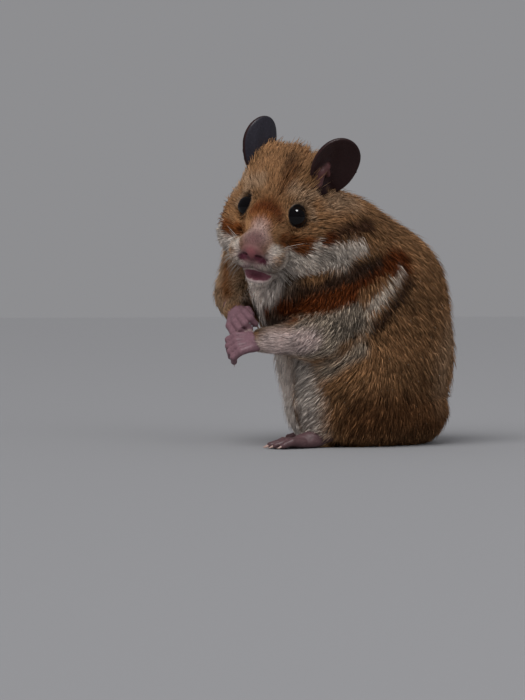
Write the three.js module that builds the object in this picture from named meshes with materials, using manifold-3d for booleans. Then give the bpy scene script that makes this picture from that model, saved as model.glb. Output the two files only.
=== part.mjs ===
// Syrian hamster (Mesocricetus auratus), adult, life size, sitting up on its haunches with its forepaws
// held together before its chest and its head turned to its left.
//
// Millimetres, +Z up, floor at z = 0. The pelvis faces -Y and the animal's left side is +X. The body is
// one smooth form out to the tips of the coat, made of eggs and tapered limbs that run into each other,
// and it is parted by thin cuts where a person would name a new part.

import * as THREE from "three";
import { mergeVertices } from "three/addons/utils/BufferGeometryUtils.js";
import Module from "manifold-3d";

const wasm = await Module();
wasm.setup();

// ---------------------------------------------------------------- driving dimensions (mm, degrees)

const CUT_GAP = 0.3; // between two parts that meet
const OWN = 1.4; // how far the space that belongs to a limb reaches past its form
const FACET = { trunk: 7.7, head: 3.9, limb: 6.1, fine: 2.1 };

const HEAD_POSE = { origin: [14.3, -31, 72], yaw: 46, pitch: 24, roll: 13.5 };
const CHEST_POSE = { origin: [4, -18, 48], yaw: 30, pitch: 0, roll: 0 };
const PELVIS_POSE = { origin: [0, 5, 0], yaw: -6, pitch: 0, roll: 0 };
const SIDES = { left: 1, right: -1 };

const EYE_RADIUS = 3.6;
const EYE = [7.3, -1.2, 0.2]; // the middle of the left eyeball, from the middle of the face
const NOSE = { centre: [0, -15.6, -5.9], radii: [2.6, 1.9, 2.2] };
const MOUTH = { centre: [0, -12.8, -14.6], radii: [4.2, 4, 1.3] };
const JAW = { from: [0, -1, -12.4], to: [0, -9.0, -15.9], fromRadius: 8.1, toRadius: 5.5 };

const EAR_WIDTH = 18.5;
const EAR_THICKNESS = 1.2;
const EAR_CUP = 2.6; // how deep the ear is hollowed
const EAR_POSES = {
  left: { root: [10.2, 12.6, 1.4], tip: [17.6, 11.2, 27.6], opening: [0.72, -0.68, -0.44], length: 22.5 },
  right: { root: [-8.7, 13.6, 2.4], tip: [-12, 19, 20.8], opening: [-1, 0.22, -0.2], length: 20.5 },
};

const ARMS = {
  left: { shoulder: [15, -9, 48], elbow: [20, -18, 33.5], wrist: [14.5, -34.5, 33] },
  right: { shoulder: [-13, -27.4, 60.8], elbow: [-12.3, -32.6, 46.8], wrist: [0.2, -38.4, 41.6] },
};
const PAW_TURNS = {
  left: { yaw: -14, pitch: 12, roll: 50 },
  right: { yaw: 80, pitch: 22, roll: -44 },
};
const FORE_DIGITS = 4;

const THIGH = { centre: [16.5, 0, 18], radii: [13.2, 19.5, 19] };
const THIGH_BACK = { left: -6.8, right: 4.2 }; // the right haunch sits further back than the left
const FOOT_POSES = {
  left: { origin: [17.5, -14, 0], yaw: 2, pitch: 0, roll: 0 },
  right: { origin: [-16, 5.2, 0], yaw: -6, pitch: 0, roll: 0 },
};
const HIND_TOES = 5;
const TAIL = { from: [-1, 19, 9], to: [-11, 24.5, 3.2], fromRadius: 3.4, toRadius: 2 };

// The neck lies between two flat cuts, at the skull and at the shoulders.
const SKULL_CUT = { point: [5, -19, 65], outward: [-0.35, 0.66, -0.66] };
const SHOULDER_CUT = { point: [1, -14, 57], outward: [-0.2, 0.4, -0.89] };

// ---------------------------------------------------------------- frames

const degrees = THREE.MathUtils.degToRad;
const vector = (xyz) => new THREE.Vector3(...xyz);
const up = vector([0, 0, 1]);

// A frame whose x points to the animal's left, y to its back and z up, turned to its left by yaw, nose
// down by pitch and left side down by roll.
function frameOf({ origin, yaw, pitch, roll }) {
  const frame = new THREE.Group();
  frame.position.fromArray(origin);
  frame.rotation.set(degrees(pitch), degrees(roll), degrees(yaw), "ZXY");
  frame.updateMatrixWorld(true);
  return frame;
}

const bodyFrame = frameOf({ origin: [0, 0, 0], yaw: 0, pitch: 0, roll: 0 });
const headFrame = frameOf(HEAD_POSE);
const chestFrame = frameOf(CHEST_POSE);
const pelvisFrame = frameOf(PELVIS_POSE);

// Frames at the wrists, the digits towards -y and the back of the hand up, and at the heels, on the
// floor, the toes towards -y.
const pawFrames = {
  left: frameOf({ origin: ARMS.left.wrist, ...PAW_TURNS.left }),
  right: frameOf({ origin: ARMS.right.wrist, ...PAW_TURNS.right }),
};
const footFrames = { left: frameOf(FOOT_POSES.left), right: frameOf(FOOT_POSES.right) };

const inBody = (frame, point) => frame.localToWorld(vector(point));
const directionInBody = (frame, direction) => vector(direction).transformDirection(frame.matrixWorld);

// ---------------------------------------------------------------- forms: signed distance, negative inside

// An egg: an ellipsoid of the given half-axes, its top leaning to its own left.
function egg(frame, { centre, radii, lean = 0 }) {
  const place = new THREE.Object3D();
  place.position.fromArray(centre);
  place.rotation.y = degrees(lean);
  place.updateMatrix();
  const inward = frame.matrixWorld.clone().multiply(place.matrix).invert();
  const half = vector(radii);
  const local = new THREE.Vector3();
  return (point) => {
    local.copy(point).applyMatrix4(inward).divide(half);
    const reach = local.length();
    if (reach < 1e-6) return -Math.min(...radii);
    return (reach * (reach - 1)) / local.divide(half).length();
  };
}

// An egg on the animal's left and the same one mirrored on its right.
function eggPair(frame, { centre: [x, y, z], radii, lean = 0 }) {
  return [1, -1].map((out) => egg(frame, { centre: [out * x, y, z], radii, lean: out * lean }));
}

// A limb: a tapered rod with round ends.
function limb(frame, { from, to, fromRadius, toRadius }) {
  const start = inBody(frame, from);
  const axis = inBody(frame, to).sub(start);
  const lengthSquared = axis.lengthSq();
  const local = new THREE.Vector3();
  return (point) => {
    local.copy(point).sub(start);
    const along = THREE.MathUtils.clamp(local.dot(axis) / lengthSquared, 0, 1);
    const radius = THREE.MathUtils.lerp(fromRadius, toRadius, along);
    return local.addScaledVector(axis, -along).length() - radius;
  };
}

// Runs forms into each other with fillets about `softness` wide.
function blend(softness, ...forms) {
  return (point) => {
    let nearest = forms[0](point);
    for (const form of forms.slice(1)) {
      const other = form(point);
      const overlap = Math.max(softness - Math.abs(nearest - other), 0) / softness;
      nearest = Math.min(nearest, other) - (overlap * overlap * softness) / 4;
    }
    return nearest;
  };
}

const swollen = (form, by) => (point) => form(point) - by;

// The part of a form inside a box, a little clear of the box's own faces.
function clipped(form, box, clearance) {
  const middle = box.getCenter(new THREE.Vector3());
  const half = box.getSize(new THREE.Vector3()).multiplyScalar(0.5).addScalar(-clearance);
  const off = new THREE.Vector3();
  return (point) => {
    off.copy(point).sub(middle);
    off.set(Math.abs(off.x), Math.abs(off.y), Math.abs(off.z)).sub(half);
    return Math.max(form(point), off.x, off.y, off.z);
  };
}

// ---------------------------------------------------------------- the head, in its own frame

// Its origin is midway between the eyes; the nose is towards -y.
const headForm = blend(
  4,
  egg(headFrame, { centre: [0, 11, 1.5], radii: [15, 14.2, 13.8] }), // braincase and its thick fur
  limb(headFrame, { from: [0, 6, 1.5], to: [0, -3, -1.4], fromRadius: 10, toRadius: 6.2 }), // forehead
  limb(headFrame, { from: [0, -3, -2.8], to: [0, -11.8, -7.2], fromRadius: 6.7, toRadius: 5 }), // muzzle
  ...eggPair(headFrame, { centre: [9.6, 1.5, -9.5], radii: [8.6, 10, 8.2] }), // cheeks
  ...eggPair(headFrame, { centre: [10.5, 11, -8], radii: [9.5, 12, 11] }), // cheek pouches
);
const whiskerPads = eggPair(headFrame, { centre: [4.9, -10.9, -9.4], radii: [4.8, 4.9, 4.8] });
const earRoots = eggPair(headFrame, { centre: [8, 15.5, 8.5], radii: [4, 3.4, 4.8], lean: 20 });
const faceForm = blend(2, limb(headFrame, JAW), ...whiskerPads, egg(headFrame, NOSE));

// ---------------------------------------------------------------- the trunk and the tail

const trunkForm = blend(
  8,
  egg(pelvisFrame, { centre: [0, 0.8, 8], radii: [24, 25, 12.6] }), // seat
  egg(pelvisFrame, { centre: [0, 1, 27], radii: [27, 27.4, 26] }), // haunches
  egg(bodyFrame, { centre: [1, 3.2, 46], radii: [23, 28.4, 25.6] }), // back
  egg(chestFrame, { centre: [0, 0, 0], radii: [17, 16, 17] }), // chest
  egg(bodyFrame, { centre: [1, -4, 28], radii: [20, 17.5, 21] }), // belly
  egg(bodyFrame, { centre: [3, -9.5, 62], radii: [19, 20.3, 17.8] }), // shoulders and nape
);
const tailForm = limb(pelvisFrame, TAIL);

// ---------------------------------------------------------------- the legs

const upperArm = ({ shoulder, elbow }) => ({ from: shoulder, to: elbow, fromRadius: 10, toRadius: 7.6 });
const forearm = ({ elbow, wrist }) => ({ from: elbow, to: wrist, fromRadius: 6.7, toRadius: 4.1 });
const thighOf = (side) => {
  const [out, , height] = THIGH.centre;
  return { centre: [SIDES[side] * out, THIGH_BACK[side], height], radii: THIGH.radii };
};
const shinOf = (side) => {
  const [x, y] = [SIDES[side] * 17, THIGH_BACK[side] - 12.5];
  return { from: [x, y, 12], to: [x, y, 4], fromRadius: 7, toRadius: 5.2 };
};

const legForms = Object.keys(SIDES).flatMap((side) => [
  blend(4, limb(bodyFrame, upperArm(ARMS[side])), limb(bodyFrame, forearm(ARMS[side]))),
  blend(6, egg(pelvisFrame, thighOf(side)), limb(pelvisFrame, shinOf(side))),
]);

// ---------------------------------------------------------------- the whole body as one form

const bodyForm = blend(4, blend(7, trunkForm, headForm), ...legForms, ...earRoots);
const wholeForm = blend(2, bodyForm, faceForm, tailForm);

// ---------------------------------------------------------------- from a form to a closed solid

// A cell of the grid: its corners, numbered so that each bit is a step along one axis, and its edges.
const CORNERS = [0, 1, 2, 3, 4, 5, 6, 7].map((n) => vector([n & 1, (n >> 1) & 1, n >> 2]));
const BITS = [1, 2, 4];
const EDGES = CORNERS.flatMap((_, n) => BITS.filter((bit) => !(n & bit)).map((bit) => [n, n | bit]));

function* cells(count) {
  for (let k = 0; k < count.z; k += 1) {
    for (let j = 0; j < count.y; j += 1) {
      for (let i = 0; i < count.x; i += 1) yield [i, j, k];
    }
  }
}

// The sheets of surface in a cell, each as the list of the cell's edges that it crosses. Two crossings
// on one face are one sheet; of four, the two beside the same inside corner are.
function sheetsOf(depths) {
  const crossed = EDGES.filter(([a, b]) => depths[a] < 0 !== depths[b] < 0);
  const sheets = new Map(crossed.map((edge) => [edge, [edge]]));
  const join = ([first, second]) => {
    if (sheets.get(first) === sheets.get(second)) return;
    const both = [...sheets.get(first), ...sheets.get(second)];
    for (const edge of both) sheets.set(edge, both);
  };
  for (const bit of BITS) {
    for (const side of [0, bit]) {
      const onFace = crossed.filter(([a, b]) => (a & bit) === side && (b & bit) === side);
      const inner = CORNERS.map((_, n) => n).filter((n) => depths[n] < 0);
      if (onFace.length === 2) join(onFace);
      else for (const corner of inner) {
        const beside = onFace.filter((edge) => edge.includes(corner));
        if (beside.length === 2) join(beside);
      }
    }
  }
  return new Set(sheets.values());
}

// Wraps the surface of a form in facets about `cell` wide: one vertex for each sheet of surface in each
// cell of a grid, then evened out and moved on to the surface along the form's slope.
function wrap(form, box, cell) {
  const count = box.getSize(new THREE.Vector3()).divideScalar(cell).ceil().addScalar(1);
  const steps = [1, count.x, count.x * count.y];
  const indexOf = ([i, j, k]) => i + steps[1] * j + steps[2] * k;
  const point = new THREE.Vector3();
  const depths = [];
  for (const node of cells(count)) depths.push(form(point.set(...node).multiplyScalar(cell).add(box.min)));

  const points = [];
  const vertexAt = new Map();
  const keyOf = (index, corner, bit) => 64 * index + 8 * corner + bit;
  const crossedCells = new Set();
  for (const node of cells(count.clone().subScalar(1))) {
    const index = indexOf(node);
    const values = CORNERS.map((corner) => depths[index + indexOf(corner.toArray())]);
    for (const edges of sheetsOf(values)) {
      const vertex = new THREE.Vector3();
      for (const [a, b] of edges) {
        vertex.add(point.lerpVectors(CORNERS[a], CORNERS[b], values[a] / (values[a] - values[b])));
        vertexAt.set(keyOf(index, a, b - a), points.length);
      }
      vertex.divideScalar(edges.length).add(point.set(...node)).multiplyScalar(cell).add(box.min);
      points.push(vertex);
      crossedCells.add(index);
    }
  }

  const triangles = [];
  for (const index of crossedCells) {
    for (let axis = 0; axis < 3; axis += 1) {
      const inside = depths[index] < 0;
      if (inside === depths[index + steps[axis]] < 0) continue;
      const [second, third] = [(axis + 1) % 3, (axis + 2) % 3];
      const ring = [[0, 0], [1, 0], [1, 1], [0, 1]].map(([a, b]) => {
        const corner = a * BITS[second] + b * BITS[third];
        return vertexAt.get(keyOf(index - a * steps[second] - b * steps[third], corner, BITS[axis]));
      });
      if (!inside) ring.reverse();
      triangles.push(ring[0], ring[1], ring[2], ring[0], ring[2], ring[3]);
    }
  }

  for (let round = 0; round < 2; round += 1) {
    evenOut(points, triangles);
    for (const vertex of points) settle(form, vertex, cell);
  }
  const geometry = new THREE.BufferGeometry().setFromPoints(points);
  geometry.setIndex(triangles);
  return geometry;
}

// Moves each point half way to the middle of its neighbours.
function evenOut(points, triangles) {
  const sums = points.map(() => new THREE.Vector3());
  const counts = points.map(() => 0);
  for (let first = 0; first < triangles.length; first += 3) {
    const corners = triangles.slice(first, first + 3);
    for (const corner of corners) {
      for (const other of corners) sums[corner].add(points[other]);
      sums[corner].sub(points[corner]);
      counts[corner] += 2;
    }
  }
  points.forEach((point, n) => point.lerp(sums[n].divideScalar(counts[n]), 0.5));
}

// Moves a point on to the surface of a form, by no more than half a cell at a time.
function settle(form, point, cell) {
  const step = 0.05;
  const beside = new THREE.Vector3();
  for (let round = 0; round < 3; round += 1) {
    const depth = form(point);
    const slope = new THREE.Vector3();
    for (const axis of ["x", "y", "z"]) {
      beside.copy(point)[axis] += step;
      slope[axis] = (form(beside) - depth) / step;
    }
    const steepness = slope.lengthSq();
    if (steepness < 1e-6) return;
    point.addScaledVector(slope, -THREE.MathUtils.clamp(depth / steepness, -cell / 2, cell / 2));
  }
}

function toSolid(geometry) {
  const bare = new THREE.BufferGeometry().setAttribute("position", geometry.getAttribute("position"));
  if (geometry.index) bare.setIndex(geometry.index);
  const merged = mergeVertices(bare, 1e-4);
  const vertProperties = new Float32Array(merged.attributes.position.array);
  const triVerts = new Uint32Array(merged.index.array);
  return new wasm.Manifold(new wasm.Mesh({ numProp: 3, vertProperties, triVerts }));
}

function toGeometry(solid) {
  const mesh = solid.getMesh();
  const geometry = new THREE.BufferGeometry();
  geometry.setAttribute("position", new THREE.BufferAttribute(mesh.vertProperties, 3));
  geometry.setIndex(new THREE.BufferAttribute(mesh.triVerts, 1));
  return geometry;
}

// A cube of space around a point of a frame, to wrap a form in.
function boxAround(frame, centre, reach) {
  const size = new THREE.Vector3().setScalar(2 * reach);
  return new THREE.Box3().setFromCenterAndSize(inBody(frame, centre), size);
}

const solidOf = (form, box, cell) => toSolid(wrap(clipped(form, box, 1.5 * cell), box, cell));

// Half of space as a large block: its face goes through `point`, moved on by `shift` along `outward`.
function halfSpace(point, outward, shift = 0) {
  const size = 300;
  const block = new THREE.Object3D();
  block.position.copy(point).addScaledVector(outward, shift);
  block.lookAt(block.position.clone().add(outward));
  block.updateMatrixWorld(true);
  const geometry = new THREE.BoxGeometry(size, size, size).translate(0, 0, -size / 2);
  return toSolid(geometry.applyMatrix4(block.matrixWorld));
}

// An egg as a faceted solid, every half-axis longer by `swell`.
function ball(frame, { centre, radii }, swell = 0, around = 9, rings = 6) {
  const half = radii.map((radius) => radius + swell);
  const geometry = new THREE.SphereGeometry(1, around, rings).scale(...half).translate(...centre);
  return toSolid(geometry.applyMatrix4(frame.matrixWorld));
}

// A limb as a faceted solid, thicker all round by `swell`: a straight tapered rod with domed ends.
function rod(frame, { from, to, fromRadius, toRadius }, swell = 0) {
  const [start, end] = [vector(from), vector(to)];
  const length = start.distanceTo(end);
  const dome = (y, radius, first, last) =>
    [0, 1, 2, 3].map((n) => {
      const angle = degrees(THREE.MathUtils.lerp(first, last, n / 3));
      return new THREE.Vector2(radius * Math.cos(angle), y + radius * Math.sin(angle));
    });
  const profile = [...dome(0, fromRadius + swell, -90, 0), ...dome(length, toRadius + swell, 0, 90)];
  profile[0].x = 0;
  profile[profile.length - 1].x = 0;
  const turn = new THREE.Quaternion().setFromUnitVectors(vector([0, 1, 0]), end.sub(start).normalize());
  const geometry = new THREE.LatheGeometry(profile, 9).applyQuaternion(turn).translate(...start);
  return toSolid(geometry.applyMatrix4(frame.matrixWorld));
}

// A digit: a ball drawn out along a bend, thinning towards its tip.
function digit(frame, root, bend, tip, rootRadius, tipRadius) {
  const curve = new THREE.QuadraticBezierCurve3(vector(root), vector(bend), vector(tip));
  const geometry = new THREE.SphereGeometry(1, 6, 4);
  const place = geometry.getAttribute("position");
  const vertex = new THREE.Vector3();
  for (let n = 0; n < place.count; n += 1) {
    vertex.fromBufferAttribute(place, n);
    const along = (1 - vertex.y) / 2;
    const around = Math.atan2(vertex.z, vertex.x);
    const back = curve.getTangent(along).negate();
    const across = new THREE.Vector3().crossVectors(back, up).normalize();
    const over = new THREE.Vector3().crossVectors(across, back);
    const roundEnds = Math.sqrt(Math.max(1 - (2 * along - 1) ** 6, 0));
    const radius = THREE.MathUtils.lerp(rootRadius, tipRadius, along) * roundEnds;
    vertex.copy(curve.getPoint(along));
    vertex.addScaledVector(across, radius * Math.cos(around));
    vertex.addScaledVector(over, radius * Math.sin(around));
    place.setXYZ(n, ...vertex);
  }
  return toSolid(geometry.applyMatrix4(frame.matrixWorld));
}

const joined = (solids) => solids.reduce((whole, solid) => whole.add(solid));
const without = (solid, rooms) => rooms.reduce((rest, room) => rest.subtract(room), solid);

// The biggest piece of a cut solid: crumbs that a cut leaves behind are dropped.
function mainPiece(solid) {
  return solid.decompose().reduce((best, piece) => (piece.volume() > best.volume() ? piece : best));
}

// ---------------------------------------------------------------- the space that belongs to each part

const belowFloor = halfSpace(new THREE.Vector3(), up);
const fleshIn = (box, cell) => solidOf(wholeForm, box, cell).subtract(belowFloor);
const before = ({ point, outward }, shift) => halfSpace(vector(point), vector(outward).normalize(), shift);

// What a part takes for itself, and the room it leaves in its neighbours: wider by the gap.
const regionAndRoom = (make) => ({ region: make(OWN), room: make(OWN + CUT_GAP) });

const armSpace = {};
const thighSpace = {};
for (const side of Object.keys(SIDES)) {
  armSpace[side] = regionAndRoom((swell) =>
    rod(bodyFrame, upperArm(ARMS[side]), swell).add(rod(bodyFrame, forearm(ARMS[side]), swell)),
  );
  thighSpace[side] = regionAndRoom((swell) =>
    ball(pelvisFrame, thighOf(side), swell + 1, 12, 8).add(rod(pelvisFrame, shinOf(side), swell)),
  );
}
const noseSpace = regionAndRoom((swell) => ball(headFrame, NOSE, swell - 0.6));
const jawSpace = regionAndRoom((swell) => rod(headFrame, JAW, swell - 0.2));
const tailSpace = regionAndRoom((swell) => rod(pelvisFrame, TAIL, swell));
const armRooms = [armSpace.left.room, armSpace.right.room];

const parts = new THREE.Group();
const colours = {
  golden_fur: [0x9a6534, 0.9],
  white_fur: [0xcfc6b8, 0.9],
  bare_skin: [0xc58f8a, 0.55],
  ear_skin: [0x4a3c3a, 0.6],
  eye: [0x0a0808, 0.08],
};
const materials = {};
for (const [name, [color, roughness]] of Object.entries(colours)) {
  materials[name] = new THREE.MeshStandardMaterial({ name, color, roughness, metalness: 0 });
}

function addPart(name, geometry, material, parent = parts) {
  const mesh = new THREE.Mesh(geometry, materials[material]);
  mesh.name = name;
  parent.add(mesh);
  return mesh;
}
const addSolid = (name, solid, material) => addPart(name, toGeometry(mainPiece(solid)), material);

// ---------------------------------------------------------------- head, eyes, jaw and nose

const headBox = boxAround(headFrame, [0, 2, -2], 30);
const headFlesh = fleshIn(headBox, FACET.head).intersect(before(SKULL_CUT, 0));
const mouth = ball(headFrame, MOUTH);
const underMouth = (shift) =>
  halfSpace(inBody(headFrame, MOUTH.centre), directionInBody(headFrame, [0, 0, 1]), shift);

parts.add(headFrame);
const eyeRooms = [];
for (const [side, out] of Object.entries(SIDES)) {
  const eyeball = (radius) => new THREE.SphereGeometry(radius, 13, 8);
  const centre = [out * EYE[0], EYE[1], EYE[2]];
  addPart(`eye_${side}`, eyeball(EYE_RADIUS), "eye", headFrame).position.fromArray(centre);
  const socket = eyeball(EYE_RADIUS + CUT_GAP).translate(...centre);
  eyeRooms.push(toSolid(socket.applyMatrix4(headFrame.matrixWorld)));
}

const jawRoom = jawSpace.room.intersect(underMouth(CUT_GAP));
const jaw = headFlesh.intersect(jawSpace.region).intersect(underMouth(0)).subtract(mouth);
const nose = fleshIn(boxAround(headFrame, NOSE.centre, 7), FACET.fine).intersect(noseSpace.region);
const headRooms = [noseSpace.room, mouth, jawRoom, ...eyeRooms, ...armRooms];
addSolid("head", without(headFlesh, headRooms), "golden_fur");
addSolid("lower_jaw", jaw, "white_fur");
addSolid("nose", nose, "bare_skin");

// ---------------------------------------------------------------- ears: thin cups

// An ear's shell in its own frame: the root at the origin, the tip towards +z, the hollow facing -y.
// It starts as a ball, flattened until its equator is the ear's rim.
function earShell(length) {
  const geometry = new THREE.SphereGeometry(1, 18, 6);
  const place = geometry.getAttribute("position");
  for (let n = 0; n < place.count; n += 1) {
    const aboveRim = Math.asin(THREE.MathUtils.clamp(place.getY(n), -1, 1)) / (Math.PI / 2);
    const out = 1 - Math.abs(aboveRim);
    const around = Math.atan2(place.getZ(n), place.getX(n));
    const across = out * Math.cos(around);
    const along = out * Math.sign(Math.sin(around)) * Math.abs(Math.sin(around)) ** 0.85;
    const towardsRoot = (1 - along) / 2;
    const narrowing = 1 - 0.45 * towardsRoot ** 1.7;
    const curl = across ** 2 * (1 + 0.4 * towardsRoot) + 0.5 * Math.max(along, 0) ** 2;
    const face = Math.abs(aboveRim) < 1e-6 ? 0 : Math.sign(aboveRim);
    const thick = (EAR_THICKNESS / 2) * Math.sqrt(1 - out ** 6) * (0.8 + 0.5 * towardsRoot);
    const hollow = EAR_CUP * (0.5 - curl) + face * thick;
    place.setXYZ(n, (across * narrowing * EAR_WIDTH) / 2, hollow, (length * (1 + along)) / 2);
  }
  return geometry;
}

const headSurface = solidOf(swollen(wholeForm, CUT_GAP), headBox, FACET.head);
for (const [side, { root, tip, opening, length }] of Object.entries(EAR_POSES)) {
  const zAxis = vector(tip).sub(vector(root)).normalize();
  const yAxis = vector(opening).negate();
  yAxis.addScaledVector(zAxis, -yAxis.dot(zAxis)).normalize();
  const xAxis = new THREE.Vector3().crossVectors(yAxis, zAxis);
  const place = new THREE.Matrix4().makeBasis(xAxis, yAxis, zAxis).setPosition(...root);
  const shell = toSolid(earShell(length).applyMatrix4(place).applyMatrix4(headFrame.matrixWorld));
  addSolid(`ear_${side}`, shell.subtract(headSurface), "ear_skin");
}

// ---------------------------------------------------------------- hind feet: heel, sole and toes in one

const SOLE = { centre: [0, -8.6, 1.6], radii: [3.5, 6.6, 2] };
const TOES_ROOM = { centre: [0, -15, 1.6], radii: [6.4, 6.8, 3] };
const HEEL = { from: [0, 3, 5], to: [0, -9, 2.2], fromRadius: 3.3, toRadius: 2.5 };

function footSolid(frame) {
  const toes = [];
  for (let i = 0; i < HIND_TOES; i += 1) {
    const spread = i - (HIND_TOES - 1) / 2;
    const root = [spread * 1.3, -11 + 0.5 * Math.abs(spread), 1.7];
    const bend = [spread * 1.8, -16 + 0.7 * Math.abs(spread), 3];
    const tip = [spread * 2.1, -20.2 + 0.6 * spread * spread, 0.7];
    toes.push(digit(frame, root, bend, tip, 1.5, 1));
  }
  const heel = digit(frame, [0, 4, 5.5], [0, 0, 3.4], [0, -9, 2.2], 3.2, 2.4);
  return joined([ball(frame, SOLE, 0, 8, 5), heel, ...toes]).subtract(belowFloor);
}

// The room that a foot takes up in the fur above it.
const footRoom = (frame) => joined([rod(frame, HEEL, 0.5), ball(frame, SOLE, 0.7), ball(frame, TOES_ROOM)]);

const footRooms = [];
for (const [side, frame] of Object.entries(footFrames)) {
  addSolid(`hind_foot_${side}`, footSolid(frame), "bare_skin");
  footRooms.push(footRoom(frame));
}

// ---------------------------------------------------------------- forepaws: wrist, palm and digits in one

const PALM = { centre: [0, -4.2, -0.2], radii: [3.8, 4.2, 2.4] };

function pawSolid(frame, out) {
  const digits = [];
  for (let i = 0; i < FORE_DIGITS; i += 1) {
    const spread = i - (FORE_DIGITS - 1) / 2;
    const root = [spread * 1.6, -5 + 0.3 * Math.abs(spread), 0.2];
    const bend = [spread * 2.5, -11.4 + 0.4 * Math.abs(spread), 0.8];
    const tip = [spread * 2.2, -10.8 + 0.5 * Math.abs(spread), -3.6];
    digits.push(digit(frame, root, bend, tip, 1.55, 1.25));
  }
  const wrist = digit(frame, [0, 4, 0], [0, 0, 0], [0, -5, 0], 3.3, 2.6);
  const thumbTip = [-out * 3.6, -5.4, -2.4];
  const thumb = digit(frame, [-out * 2.4, -2, -0.8], [-out * 4, -3.6, -1], thumbTip, 1.2, 0.8);
  return joined([wrist, ball(frame, PALM, 0, 8, 5), thumb, ...digits]);
}

for (const [side, frame] of Object.entries(pawFrames)) {
  const forward = directionInBody(frame, [0, -1, 0]);
  const wrist = vector(ARMS[side].wrist);
  const paw = pawSolid(frame, SIDES[side]).subtract(halfSpace(wrist, forward));
  addSolid(`forepaw_${side}`, paw, "bare_skin");
  const armFlesh = fleshIn(boxAround(bodyFrame, ARMS[side].elbow, 34), FACET.limb);
  const arm = armFlesh.intersect(armSpace[side].region).intersect(halfSpace(wrist, forward, -CUT_GAP));
  addSolid(`foreleg_${side}`, arm, "golden_fur");
}

// ---------------------------------------------------------------- thighs, tail, neck and trunk

for (const [side, out] of Object.entries(SIDES)) {
  const { centre } = thighOf(side);
  const thigh = fleshIn(boxAround(pelvisFrame, centre, 34), FACET.limb).intersect(thighSpace[side].region);
  const ownHalf = halfSpace(new THREE.Vector3(), vector([-out, 0, 0]), -4);
  const thighRooms = [...footRooms, ...armRooms, tailSpace.room];
  addSolid(`thigh_${side}`, without(thigh, thighRooms).intersect(ownHalf), "golden_fur");
}

const tail = fleshIn(boxAround(pelvisFrame, [-6, 22, 6], 14), FACET.fine).intersect(tailSpace.region);
addSolid("tail", tail, "golden_fur");

const neckFlesh = fleshIn(boxAround(bodyFrame, [2, -14, 62], 40), FACET.limb);
const neck = neckFlesh.subtract(before(SKULL_CUT, CUT_GAP)).intersect(before(SHOULDER_CUT, 0));
addSolid("neck", without(neck, armRooms), "golden_fur");

const headAndNeck = [before(SHOULDER_CUT, CUT_GAP), before(SKULL_CUT, CUT_GAP)];
const trunk = fleshIn(boxAround(bodyFrame, [0, -8, 45], 61), FACET.trunk);
const legRooms = [...armRooms, thighSpace.left.room, thighSpace.right.room, ...footRooms];
addSolid("trunk", without(trunk, [...headAndNeck, ...legRooms, tailSpace.room]), "golden_fur");

// ---------------------------------------------------------------- the part's own frame

// The origin is under the middle of the animal, on the floor.
const middle = new THREE.Box3().setFromObject(parts).getCenter(new THREE.Vector3());
parts.position.set(-middle.x, -middle.y, 0);

export default parts;
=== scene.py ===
import math

import bpy
import numpy as np
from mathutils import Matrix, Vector, kdtree


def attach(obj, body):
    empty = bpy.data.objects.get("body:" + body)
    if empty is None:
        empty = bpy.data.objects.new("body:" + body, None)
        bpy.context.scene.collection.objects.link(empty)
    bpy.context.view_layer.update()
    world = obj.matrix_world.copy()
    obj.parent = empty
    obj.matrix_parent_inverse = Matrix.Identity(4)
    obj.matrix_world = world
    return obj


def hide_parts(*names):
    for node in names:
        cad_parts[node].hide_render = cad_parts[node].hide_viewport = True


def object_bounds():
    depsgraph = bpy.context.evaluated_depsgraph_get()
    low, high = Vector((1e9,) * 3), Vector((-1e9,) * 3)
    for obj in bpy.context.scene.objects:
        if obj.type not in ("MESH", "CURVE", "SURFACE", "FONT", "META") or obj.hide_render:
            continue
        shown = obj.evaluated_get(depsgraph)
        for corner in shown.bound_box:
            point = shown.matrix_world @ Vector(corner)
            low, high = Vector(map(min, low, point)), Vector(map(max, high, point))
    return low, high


# Syrian hamster: one skin, its coat of tufts, eyes, claws and whiskers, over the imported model's frame.
#
# Each part of the body is a form: a function that gives the distance from points to its surface,
# negative inside. Run into each other, the forms make the outline of the coat. The skin lies inside
# that outline by the depth of the coat, and the tufts fill what is between.
#
# Lengths are in millimetres until a mesh is made, angles in degrees. The animal's left is +x.

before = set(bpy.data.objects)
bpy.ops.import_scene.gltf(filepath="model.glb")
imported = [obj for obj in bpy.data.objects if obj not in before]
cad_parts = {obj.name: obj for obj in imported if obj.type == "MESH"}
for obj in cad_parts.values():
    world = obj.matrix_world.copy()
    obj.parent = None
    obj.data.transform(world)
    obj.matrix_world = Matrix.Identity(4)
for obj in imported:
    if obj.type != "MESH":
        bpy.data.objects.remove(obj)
cad_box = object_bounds()

MM = 0.001
SIDES = {"left": 1, "right": -1}
random = np.random.default_rng(7)


# ---- places


def turn_of(yaw=0.0, pitch=0.0, roll=0.0):
    """The turn to its own left by yaw, nose down by pitch and left side down by roll."""
    (cz, sz), (cx, sx), (cy, sy) = ((math.cos(math.radians(a)), math.sin(math.radians(a)))
                                    for a in (yaw, pitch, roll))
    about_z = np.array([[cz, -sz, 0], [sz, cz, 0], [0, 0, 1]])
    about_x = np.array([[1, 0, 0], [0, cx, -sx], [0, sx, cx]])
    about_y = np.array([[cy, 0, sy], [0, 1, 0], [-sy, 0, cy]])
    return about_z @ about_x @ about_y


class Place:
    """A frame of its own: x to the animal's left, y to its back, z up."""

    def __init__(self, origin, turn=None):
        self.origin = np.array(origin, float)
        self.turn = np.eye(3) if turn is None else turn

    def into(self, points):
        return (points - self.origin) @ self.turn

    def out(self, points):
        return np.asarray(points, float) @ self.turn.T + self.origin

    def direction(self, vector):
        return np.asarray(vector, float) @ self.turn.T


def eyeball_middle(side):
    """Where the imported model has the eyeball."""
    corners = [v.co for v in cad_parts[f"eye_{side}"].data.vertices]
    return np.array(corners).mean(axis=0) / MM


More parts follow.
